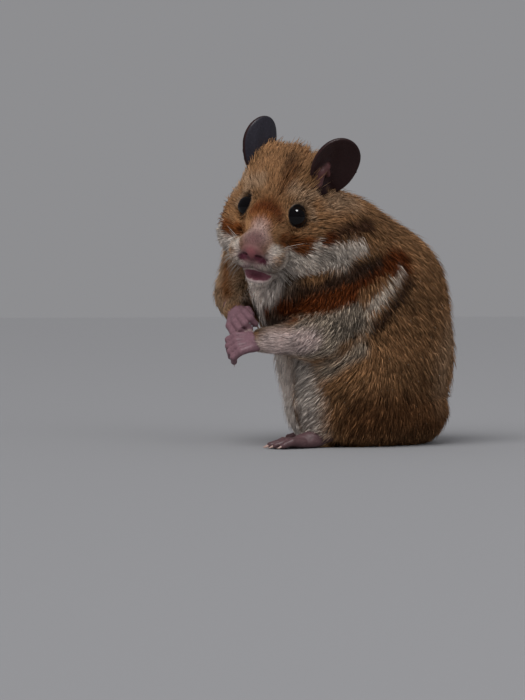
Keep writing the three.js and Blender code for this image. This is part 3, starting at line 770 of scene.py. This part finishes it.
def fine_places(points):
    """Where the skin needs small facets: the face, ears, paws and feet."""
    head = HEAD.into(points)
    fine = (head[:, 1] < 1) & (head[:, 2] > -17) & (head[:, 2] < 8) & (np.abs(head[:, 0]) < 13)
    for form in EXTREMITIES.values():
        fine |= form(points) < 0.6
    return fine


def finest_places(points):
    """Where it needs the smallest: round the eyes, nose and mouth."""
    fine = length(points - HEAD.out((0, -15.5, -9.5))) < 6.5
    for side in SIDES:
        fine |= length(points - EYES[side]) < EYE_RADIUS + 1.2
    return fine


def make_skin():
    """The skin in its colours, and its points and triangles."""
    low, high = (np.array(corner) / MM for corner in cad_box)
    points, triangles = wrap(lambda points: skin_form(points, EAR_SPARE), low - SKIN_MARGIN,
                             high + SKIN_MARGIN, SKIN_CELL)
    points = settle(skin_form, points, SKIN_CELL / 2, 2)
    for chosen_places in (fine_places, finest_places):
        points, triangles = refine(points, triangles, in_runs(chosen_places, points))
    points = settle(skin_form, points, SKIN_CELL / 4, 2)
    skin = add_mesh("skin", points, triangles)
    colours, bare = skin_colours(points)
    paint(skin, "shade", colours)
    paint(skin, "bare", np.repeat(bare[:, None], 3, axis=1))
    return skin, points, triangles


def unwrap(piece):
    """Unwraps a piece from its own shape, and gives where each triangle's corners come to lie."""
    piece.data.uv_layers.new(name="OFBake")
    bpy.context.view_layer.objects.active = piece
    piece.select_set(True)
    bpy.ops.object.mode_set(mode="EDIT")
    bpy.ops.mesh.select_all(action="SELECT")
    bpy.ops.uv.smart_project(angle_limit=math.radians(66), island_margin=0.001)
    bpy.ops.object.mode_set(mode="OBJECT")
    piece.select_set(False)
    places = np.empty(len(piece.data.loops) * 2, np.float32)
    piece.data.uv_layers["OFBake"].data.foreach_get("uv", places)
    return places.reshape(-1, 3, 2)


# ---- the coat

TUFTS = 138000
MOST_TUFTS = 19000  # in one piece of the coat
PATCH = 0.003  # each tuft's own patch on the unwrap
RINGS = (0.0, 0.45)  # where a tuft's two rings are along it
THICK = (0.8, 1.0)  # how wide it is at each
# A tuft is darker at its root, where the hair's bases are grey, and lighter at its tip: painted light for
# light that shines through the tips.
TONES = (0.6, 0.98, 1.1)  # its shade at each ring and at its tip
FLAT = 0.6  # how high it is for its width
ROOTED = 0.12  # how deep it starts in the skin
TUFTS_IN_LOCK = 14
LOCK_PULL = 0.28  # how far the tips of a lock are drawn together
RAISED = 0.8  # how upright the hair stands at the ears and between them
RAISED_BY = 3.2  # how much higher the coat is where it stands fully up
STRAY = 0.14  # how far single tufts lie aside from the hair round them
COLOUR_AT = 0.7  # how far along a tuft the markings are read for its colour
LONG_TUFTS = (0.1, 1.35)  # the share of tufts that stand out of the coat, and how much higher
DARK_TUFTS = (0.4, 0.45)  # the share of darker tufts in a fully ticked coat, and their tone
BRIGHT_TONE = 1.1  # the tone of the others
FINE_COAT = 1.3  # a coat thinner than this is a piece of its own
PALE = 0.9  # the sum of red, green and blue from which a tuft is white


def sow(points, triangles, density):
    """Roots spread evenly over triangles, by their area and the density at their corners."""
    corners = points[triangles]
    area = length(np.cross(corners[:, 1] - corners[:, 0], corners[:, 2] - corners[:, 0])) / 2
    wanted = np.cumsum(area * density[triangles].mean(axis=1))
    steps = (np.arange(TUFTS) + random.random(TUFTS)) * wanted[-1] / TUFTS
    chosen = np.searchsorted(wanted, steps)
    split = random.random((TUFTS, 2))
    split = np.where(split.sum(axis=1, keepdims=True) > 1, 1 - split, split)
    weights = np.column_stack([1 - split.sum(axis=1), split])
    return chosen, weights


def lie_of(points, shares, normals):
    """The way the hair lies at points of the skin: along it, and round the eyes."""
    lie = np.zeros(points.shape)
    for share, (_, way, _) in zip(shares, PARTS.values()):
        some = share > 0.02
        lie[some] += share[some, None] * way(points[some])
    for side in SIDES:
        off = points - EYES[side]
        near = length(off) < 8
        off -= (off @ EYE_AXES[side])[:, None] * EYE_AXES[side]
        lie += (1.5 * near * smooth_step(EYE_RADIUS + 3.2, EYE_RADIUS, length(off)))[:, None] * unit(off)
    lie -= np.einsum("ij,ij->i", lie, normals)[:, None] * normals
    return unit(lie)


def gathered(roots, lies, lengths):
    """How far each tuft's tip is drawn aside, to the tip of the middle tuft of its lock; and its lock."""
    middles = random.permutation(len(roots))[:int(len(roots) / TUFTS_IN_LOCK)]
    tree = kdtree.KDTree(len(middles))
    for n, middle in enumerate(middles):
        tree.insert(roots[middle], n)
    tree.balance()
    lock = np.array([tree.find(root)[1] for root in roots])
    own = middles[lock]
    tips = roots[own] + lies[own] * lengths[own, None]
    aside = tips - (roots + lies * lengths[:, None])
    aside *= np.minimum(1, 0.6 * lengths / np.maximum(length(aside), 1e-6))[:, None]
    return aside * LOCK_PULL, lock


def middle_of(tufts, along):
    """The middle of each tuft at a share of its length: it rises from the skin and then lies along it."""
    point = tufts["roots"] + tufts["lies"] * (along * tufts["lengths"])[:, None]
    point = point + tufts["aside"] * along ** 1.5
    if along:
        high = tufts["heights"] * (1 - (1 - along) ** 2.2)
        for _ in range(2):
            here, slope = body_at(point)
            point = point + unit(slope) * (high - here)[:, None]
    else:
        point = point - tufts["normals"] * ROOTED
    point[:, 2] = np.maximum(point[:, 2], 0.15)
    return point


def make_tufts(name, tufts):
    """Closed tufts, three-sided and tapered to a point."""
    middles = [middle_of(tufts, along) for along in (*RINGS, 1)]
    across = unit(np.cross(tufts["lies"], tufts["normals"]))
    vertices, shades = [], []
    for n, thick in enumerate(THICK):
        over = unit(np.cross(across, unit(middles[n + 1] - middles[n])))
        for turn in (90, 210, 330):
            side = math.cos(math.radians(turn)) * across
            top = math.sin(math.radians(turn)) * FLAT * over
            vertices.append(middles[n] + (side + top) * (tufts["widths"] * thick / 2)[:, None])
            shades.append(tufts["colours"] * TONES[n])
    vertices.append(middles[-1])
    shades.append(tufts["colours"] * (TONES[-1] * tufts["tips"])[:, None])
    faces = np.array([(0, 1, 2), (0, 3, 1), (1, 3, 4), (1, 4, 2), (2, 4, 5), (2, 5, 0), (0, 5, 3),
                      (3, 6, 4), (4, 6, 5), (5, 6, 3)])
    firsts = np.arange(len(middles[0])) * len(vertices)
    triangles = (firsts[:, None, None] + faces).reshape(-1, 3)
    piece = add_mesh(name, np.stack(vertices, axis=1).reshape(-1, 3), triangles)
    paint(piece, "shade", np.stack(shades, axis=1).reshape(-1, 3))
    patch = np.array([(-0.5, -0.5), (-0.5, 0), (-0.5, 0.5), (0, -0.5), (0, 0), (0, 0.5), (0.5, 0)]) * PATCH
    spots = np.clip(tufts["places"][:, None, :] + patch[None], 0, 1).reshape(-1, 2)
    layer = piece.data.uv_layers.new(name="OFBake")
    layer.data.foreach_set("uv", spots[triangles.ravel()].astype(np.float32).ravel())
    return piece


def body_at(points):
    """The body's distance and slope at many points."""
    found = in_runs(lambda some: np.column_stack(slope_of(body_form, some)), points)
    return found[:, 0], found[:, 1:]


def waves(points, size, seed):
    """Smooth patches from -1 to 1 about `size` wide."""
    own = np.random.default_rng(seed)
    total = np.zeros(len(points))
    for _ in range(5):
        total += np.sin(points @ (own.normal(size=3) * 2.2 / size) + own.uniform(0, 6.3))
    return total / 2.5


def standing(points):
    """Where the hair stands up: in front of the ears' roots and between them."""
    raised = smooth_step(6.5, 2, length(points - HEAD.out((1, 11.5, 14))))
    for side, out in SIDES.items():
        for spot in ((-6.5 * out, -1.5, 8), (0, 4, 7)):
            raised = np.maximum(raised, smooth_step(7, 2.5, length(points - EARS[side].out(spot))))
    return RAISED * raised


def clear_of_openings(points):
    """Whether tips stay out of the eyes, the mouth, the nostrils and the hollows of the ears."""
    clear = MOUTH(points) > 0.3
    for nostril in NOSTRILS:
        clear &= nostril(points) > 0.5
    for side in SIDES:
        reach, angle = from_eye(side, points)
        clear &= (angle > LID_OPENING - 3) | (reach > EYE_RADIUS + 1.3)
        clear &= CONCHAS[side](points) > 0.2
    return clear


def tones_of(roots, ticking, lock):
    """How light or dark each tuft is: by itself, by its patch of the coat and by its lock."""
    tones = np.exp(0.45 * ticking * random.normal(size=TUFTS))
    tones *= np.where(random.random(TUFTS) < DARK_TUFTS[0] * ticking, DARK_TUFTS[1], BRIGHT_TONE)
    tones *= 1 + 0.18 * waves(roots, 7, 3) + (0.05 + 0.2 * ticking) * random.normal(size=lock.max() + 1)[lock]
    return np.clip(tones, 0.2, 1.6)


def grow(points, triangles, skin_places):
    """All of the tufts, and how deep the coat is at each."""
    _, shares = measure(points)
    _, bare = skin_colours(points)
    density = (2.2 + 7 * np.exp(-coat_depth(shares) / 0.9)) * smooth_step(0.7, 0.3, bare)
    chosen, weights = sow(points, triangles, density)
    roots = np.einsum("ij,ijk->ik", weights, points[triangles[chosen]])
    normals = unit(body_at(roots)[1])
    whole, shares = measure(roots)
    coat = coat_depth(shares)
    raised = standing(roots)
    depths = np.clip(-whole, 0.12, coat + 0.2) + RAISED_BY * raised
    lies = unit(lie_of(roots, shares, normals) + STRAY * random.normal(size=roots.shape))
    lengths = (1.1 + 1.6 * coat + 2.6 * raised) * random.uniform(0.7, 1.25, TUFTS)
    for side in SIDES:
        lengths *= 0.35 + 0.65 * smooth_step(EYE_RADIUS + 0.4, EYE_RADIUS + 4.5, length(roots - EYES[side]))
    aside, lock = gathered(roots, lies, lengths)
    shown = roots + COLOUR_AT * (lies * lengths[:, None] + aside) + normals * depths[:, None]
    colours, ticking = markings(shown)
    tones = tones_of(roots, ticking, lock)
    heights = depths * random.uniform(0.55, 1.05, TUFTS)
    heights *= np.where(random.random(TUFTS) < LONG_TUFTS[0], LONG_TUFTS[1], 1)
    return coat, {
        "roots": roots, "normals": normals, "lies": lies, "aside": aside, "lengths": lengths,
        "heights": heights, "places": np.einsum("ij,ijk->ik", weights, skin_places[chosen]),
        "widths": (0.1 + 0.052 * coat) * random.uniform(0.7, 1.35, TUFTS),
        "colours": colours * tones[:, None],
        # Ticked tufts get darker tips; the rest are a little lighter there, painted light like the tip's
        # tone.
        "tips": np.where(random.random(TUFTS) < 0.35, 1 - 0.5 * np.minimum(ticking, 1), 1.05),
    }


def make_coat(points, triangles, skin_places):
    """The pieces of the coat, each with its material slot."""
    coat, tufts = grow(points, triangles, skin_places)
    keep = clear_of_openings(tufts["roots"] + tufts["lies"] * tufts["lengths"][:, None])
    pale = tufts["colours"].sum(axis=1) > PALE
    kinds = (("face", "golden_fur", coat < FINE_COAT), ("golden", "golden_fur", ~pale & (coat >= FINE_COAT)),
             ("white", "white_fur", pale & (coat >= FINE_COAT)))
    pieces = []
    for kind, slot, members in kinds:
        index = np.flatnonzero(members & keep)
        layers = math.ceil(len(index) / MOST_TUFTS)
        for n in range(layers):
            some = {name: values[index[n::layers]] for name, values in tufts.items()}
            pieces.append((make_tufts(f"coat_{kind}_{n + 1}", some), slot))
    return pieces


# ---- whiskers and claws


def make_spines(name, lines, radius, sides=3):
    """Closed pointed rods along lines of points, joined in one mesh."""
    points, faces = [], []
    for line in lines:
        start, last = len(points), len(line) - 1
        flow = unit(np.gradient(line, axis=0))
        across = unit(np.cross(flow, (0.3, 0.5, 0.81)))
        over = np.cross(flow, across)
        for n in range(last):
            thick = radius * (1 - (n / last) ** 1.6)
            for turn in 2 * math.pi * np.arange(sides) / sides:
                points.append(line[n] + thick * (math.cos(turn) * across[n] + math.sin(turn) * over[n]))
        points += [line[last], line[0]]
        tip, root = start + sides * last, start + sides * last + 1
        for side in range(sides):
            a, b = start + side, start + (side + 1) % sides
            faces.append((root, b, a))
            for n in range(last - 1):
                low_a, low_b = a + n * sides, b + n * sides
                faces += [(low_a, low_b, low_b + sides), (low_a, low_b + sides, low_a + sides)]
            faces.append((a + (last - 1) * sides, b + (last - 1) * sides, tip))
    return add_mesh(name, np.array(points), np.array(faces))


WHISKERS = 15  # on each side of the face, every other one dark
CHEEK_HAIRS = 34  # long pale hairs below them, on each side
HAIR_RADIUS = 0.065
CLAW_RADIUS = 0.42


def whisker_lines(dark):
    """Curved lines that leave the whisker pads sideways and sweep back along the cheeks."""
    lines = []
    steps = np.linspace(0, 1, 9)[:, None]
    for out in SIDES.values():
        for n in range(WHISKERS):
            row, place = n % 3 - 1, n // 3
            root = np.array([(4.6 + 0.5 * place) * out, -13.6 + 1.0 * place, -8.2 + 1.2 * row])
            reach = random.uniform(9, 17)
            way = np.array([1.0 * out, 0.1 + 0.5 * random.random(), 0.5 * row - 0.1 * random.random()])
            droop = np.array([-0.1 * out, 0.55, -0.35 - 0.2 * random.random()])
            line = root + steps * way * reach * 0.7 + steps ** 2 * droop * reach * 0.6
            if (n + (out > 0)) % 2 == dark:
                lines.append(HEAD.out(line))
    return lines


def cheek_hair_lines():
    """Long pale hairs that hang back from the lips and chin."""
    lines = []
    steps = np.linspace(0, 1, 7)[:, None]
    for out in SIDES.values():
        for _ in range(CHEEK_HAIRS):
            place = random.random(3)
            root = np.array([(4.5 + 6 * place[0]) * out, -12.6 + 5.5 * place[0], -10.5 - 4.5 * place[1]])
            reach = 6 + 6 * place[2]
            way = np.array([(0.75 - 0.3 * place[1]) * out, 0.15, -0.3 - 0.35 * place[1]])
            sag = np.array([0, 0.4, -0.25])
            lines.append(HEAD.out(root + steps * way * reach + steps ** 2 * sag * reach))
    return lines


def claw_lines():
    """A curved claw at the tip of every digit."""
    lines = []
    steps = np.linspace(-0.25, 1, 6)[:, None]
    for side, out in SIDES.items():
        digits = [(PAWS[side], joints, 1.9) for joints in fore_digits(out)[:FORE_DIGITS]]
        digits += [(FEET[side], joints, 2.1) for joints in hind_toes()]
        for place, joints, reach in digits:
            tip = place.out(joints[-1])
            way = unit((tip - place.out(joints[-2]))[None])[0]
            down = place.direction((0, 0, -1))
            line = tip + way * 0.4 + steps * way * reach + steps ** 2 * down * reach * 0.25
            line[:, 2] = np.maximum(line[:, 2], 0.5)
            lines.append(line)
    return lines


# ---- eyes

EYE_AROUND, EYE_RINGS = 48, 32


def make_eye(side):
    """A glossy ball, its front a little fuller."""
    polar, turn = np.meshgrid(math.pi * np.arange(EYE_RINGS + 1) / EYE_RINGS,
                              2 * math.pi * np.arange(EYE_AROUND) / EYE_AROUND, indexing="ij")
    ball = np.stack([np.sin(polar) * np.cos(turn), np.sin(polar) * np.sin(turn), np.cos(polar)], axis=-1)
    ball = ball.reshape(-1, 3)
    faces = []
    for ring in range(EYE_RINGS):
        for n in range(EYE_AROUND):
            a, b = ring * EYE_AROUND + n, ring * EYE_AROUND + (n + 1) % EYE_AROUND
            faces += [(a, a + EYE_AROUND, b), (b, a + EYE_AROUND, b + EYE_AROUND)]
    axis = EYE_AXES[side]
    other = unit(np.cross(axis, (0, 0, 1.0))[None])[0]
    axes = np.stack([other, np.cross(axis, other), axis], axis=1)
    fuller = 1 + 0.03 * smooth_step(0.5, 1, ball[:, 2])
    points = (ball * fuller[:, None] * EYE_RADIUS) @ axes.T + EYES[side]
    return add_mesh(f"eyeball_{side}", points, np.array(faces))


# ---- materials


def fill(tree, node, inputs):
    """Sets a node's sockets, each to a value or to another node's output."""
    for name, value in inputs.items():
        if isinstance(value, bpy.types.NodeSocket):
            tree.links.new(value, node.inputs[name])
        else:
            node.inputs[name].default_value = value
    return node


def add_node(tree, kind, inputs, **settings):
    node = tree.nodes.new(f"ShaderNode{kind}")
    for name, value in settings.items():
        setattr(node, name, value)
    return fill(tree, node, inputs)


FIRST, SECOND, MIXED = 6, 7, 2  # a mix node's sockets for colours


def new_material(name, roughness, specular):
    material = bpy.data.materials.new(name)
    material.use_nodes = True
    tree = material.node_tree
    shader = fill(tree, tree.nodes["Principled BSDF"],
                  {"Roughness": roughness, "Specular IOR Level": specular})
    return material, tree, shader


def whereabouts(tree):
    return add_node(tree, "TexCoord", {}).outputs["Object"]


def add_noise(tree, scale):
    noise = add_node(tree, "TexNoise", {"Vector": whereabouts(tree), "Scale": scale, "Detail": 3})
    return noise.outputs["Fac"]


def tone_by(tree, colour, factor, low, high):
    """A colour made darker and lighter by a factor from 0 to 1."""
    span = add_node(tree, "MapRange", {"Value": factor, "To Min": low, "To Max": high})
    mix = add_node(tree, "Mix", {"Factor": 1, FIRST: colour, SECOND: span.outputs["Result"]},
                   data_type="RGBA", blend_type="MULTIPLY")
    return mix.outputs[MIXED]


def painted(tree, name):
    return add_node(tree, "Attribute", {}, attribute_name=name).outputs["Color"]


def coat_material(name):
    """Dull, in the coat's own colours."""
    material, tree, shader = new_material(name, 0.72, 0.1)
    mottled = tone_by(tree, painted(tree, "shade"), add_noise(tree, 900), 0.75, 1.25)
    fill(tree, shader, {"Base Color": mottled})
    return material


def skin_material():
    """Creased where it is bare, dull under the fur."""
    material, tree, shader = new_material("skin", 0.5, 0.18)
    creases = add_node(tree, "TexVoronoi", {"Vector": whereabouts(tree), "Scale": 1700}, feature="SMOOTH_F1")
    depth = creases.outputs["Distance"]
    mottled = tone_by(tree, painted(tree, "shade"), add_noise(tree, 1400), 0.75, 1.25)
    dullness = add_node(tree, "MapRange", {"Value": painted(tree, "bare"), "To Min": 0.9, "To Max": 0.45})
    bump = add_node(tree, "Bump", {"Strength": 0.35, "Distance": 0.0002, "Height": depth})
    # Its colour follows the creases: painted shade in their hollows, a little lighter on their ridges.
    fill(tree, shader, {"Base Color": tone_by(tree, mottled, depth, 0.9, 1.15),
                        "Roughness": dullness.outputs["Result"], "Normal": bump.outputs["Normal"]})
    return material


def plain_material(name, colour, roughness, specular, scale, spread):
    """One colour, mottled by noise."""
    material, tree, shader = new_material(name, roughness, specular)
    mottled = tone_by(tree, (*linear(colour), 1), add_noise(tree, scale), 1 - spread, 1 + spread)
    fill(tree, shader, {"Base Color": mottled})
    return material


# ---- stage

FLOOR_COLOUR = (0.29, 0.29, 0.3)
FLOOR_HALF = 6.0  # metres
WALL_COLOUR = (0.27, 0.27, 0.28)  # the backdrop, as the camera sees it
AMBIENT = (0.38, 0.38, 0.39)  # the light from all round
MIRRORED = (0.1, 0.1, 0.11)  # the backdrop, as glossy surfaces mirror it
CAMERA = {"azimuth": 70, "elevation": 1.2, "far": 700, "target": (-9.43, -25.9, 29.35), "lens": 114.3}


def look_at(thing, target):
    off = Vector(target) - thing.location
    thing.rotation_mode = "QUATERNION"
    thing.rotation_quaternion = off.to_track_quat("-Z", "Y")


def add_camera():
    """Low, in front of the animal's left side."""
    azimuth, elevation = math.radians(CAMERA["azimuth"]), math.radians(CAMERA["elevation"])
    back = np.array([math.sin(azimuth) * math.cos(elevation), -math.cos(azimuth) * math.cos(elevation),
                     math.sin(elevation)])
    target = BODY.out(CAMERA["target"])
    camera = add_object("camera", bpy.data.cameras.new("camera"))
    camera.location = (target + CAMERA["far"] * back) * MM
    look_at(camera, target * MM)
    camera.data.lens = CAMERA["lens"]
    camera.data.sensor_width = 36
    camera.data.sensor_fit = "AUTO"
    camera.data.clip_start = 0.01
    bpy.context.scene.camera = camera


def add_sun(name, direction, strength, spread):
    """Soft light that falls alike on all of the floor."""
    lamp = bpy.data.lights.new(name, "SUN")
    lamp.energy = strength
    lamp.angle = math.radians(spread)
    made = add_object(name, lamp)
    made.location = Vector(direction).normalized()
    look_at(made, (0, 0, 0))
    made.visible_glossy = False


def add_lamp(name, direction, far, size, power, colour, mirrored=False):
    """A round soft lamp; a mirrored one is seen in glossy surfaces and lights nothing else."""
    lamp = bpy.data.lights.new(name, "AREA")
    lamp.shape = "DISK"
    lamp.size = size
    lamp.energy = power
    lamp.color = colour
    made = add_object(name, lamp)
    middle = Vector(((cad_box[0] + cad_box[1]) / 2))
    made.location = middle + Vector(direction).normalized() * far
    made.visible_glossy = mirrored
    made.visible_diffuse = not mirrored
    look_at(made, middle)


def add_floor():
    mesh = bpy.data.meshes.new("floor")
    corners = [(-1, -1, 0), (1, -1, 0), (1, 1, 0), (-1, 1, 0)]
    mesh.from_pydata([Vector(corner) * FLOOR_HALF for corner in corners], [], [(0, 1, 2, 3)])
    material, _, shader = new_material("floor", 0.9, 0.1)
    shader.inputs["Base Color"].default_value = (*FLOOR_COLOUR, 1)
    mesh.materials.append(material)
    floor = add_object("floor", mesh)


def add_world():
    """Even light from all round; the camera and glossy surfaces see a backdrop of their own."""
    world = bpy.data.worlds.new("studio")
    bpy.context.scene.world = world
    world.use_nodes = True
    tree = world.node_tree
    seen = add_node(tree, "LightPath", {})
    colour = (*AMBIENT, 1)
    for ray, own in (("Is Glossy Ray", MIRRORED), ("Is Camera Ray", WALL_COLOUR)):
        mix = add_node(tree, "Mix", {"Factor": seen.outputs[ray], FIRST: colour, SECOND: (*own, 1)},
                       data_type="RGBA")
        colour = mix.outputs[MIXED]
    fill(tree, tree.nodes["Background"], {"Color": colour})


def add_stage():
    bpy.context.scene.view_settings.view_transform = "Standard"
    add_floor()
    add_world()
    add_sun("key", (0.6, -0.8, 1.1), 2.2, 50)
    add_lamp("fill", (1.0, 0.3, 0.5), 1.4, 1.2, 4.5, (0.97, 0.98, 1))
    add_lamp("catchlight", (0.45, 0.1, 0.89), 0.9, 0.3, 8, (1, 1, 1), mirrored=True)


# ---- the whole

FLESH = [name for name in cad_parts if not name.startswith("eye_")]


def place_piece(piece, material):
    piece.data.materials.append(material)
    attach(piece, "root")


skin, skin_points, skin_triangles = make_skin()
skin_places = unwrap(skin)
place_piece(skin, skin_material())
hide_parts(*FLESH)

furs = {slot: coat_material(slot) for slot in ("golden_fur", "white_fur")}
for piece, slot in make_coat(skin_points, skin_triangles, skin_places):
    place_piece(piece, furs[slot])

shine = plain_material("eye", (10, 8, 9), 0.03, 0.22, 300, 0.3)
for side in SIDES:
    eyeball = make_eye(side)
    place_piece(eyeball, shine)
    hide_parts(f"eye_{side}")

pale_hairs = whisker_lines(dark=False) + cheek_hair_lines()
dark_hairs = whisker_lines(dark=True)
for name, colour, lines in (("pale_whisker", (196, 186, 176), pale_hairs),
                            ("dark_whisker", (44, 32, 28), dark_hairs)):
    whiskers = make_spines(f"{name}s", lines, HAIR_RADIUS)
    place_piece(whiskers, plain_material(name, colour, 0.5, 0.2, 400, 0.15))
claws = make_spines("claws", claw_lines(), CLAW_RADIUS, sides=8)
place_piece(claws, plain_material("claw", (168, 140, 130), 0.35, 0.4, 900, 0.15))

add_camera()
add_stage()
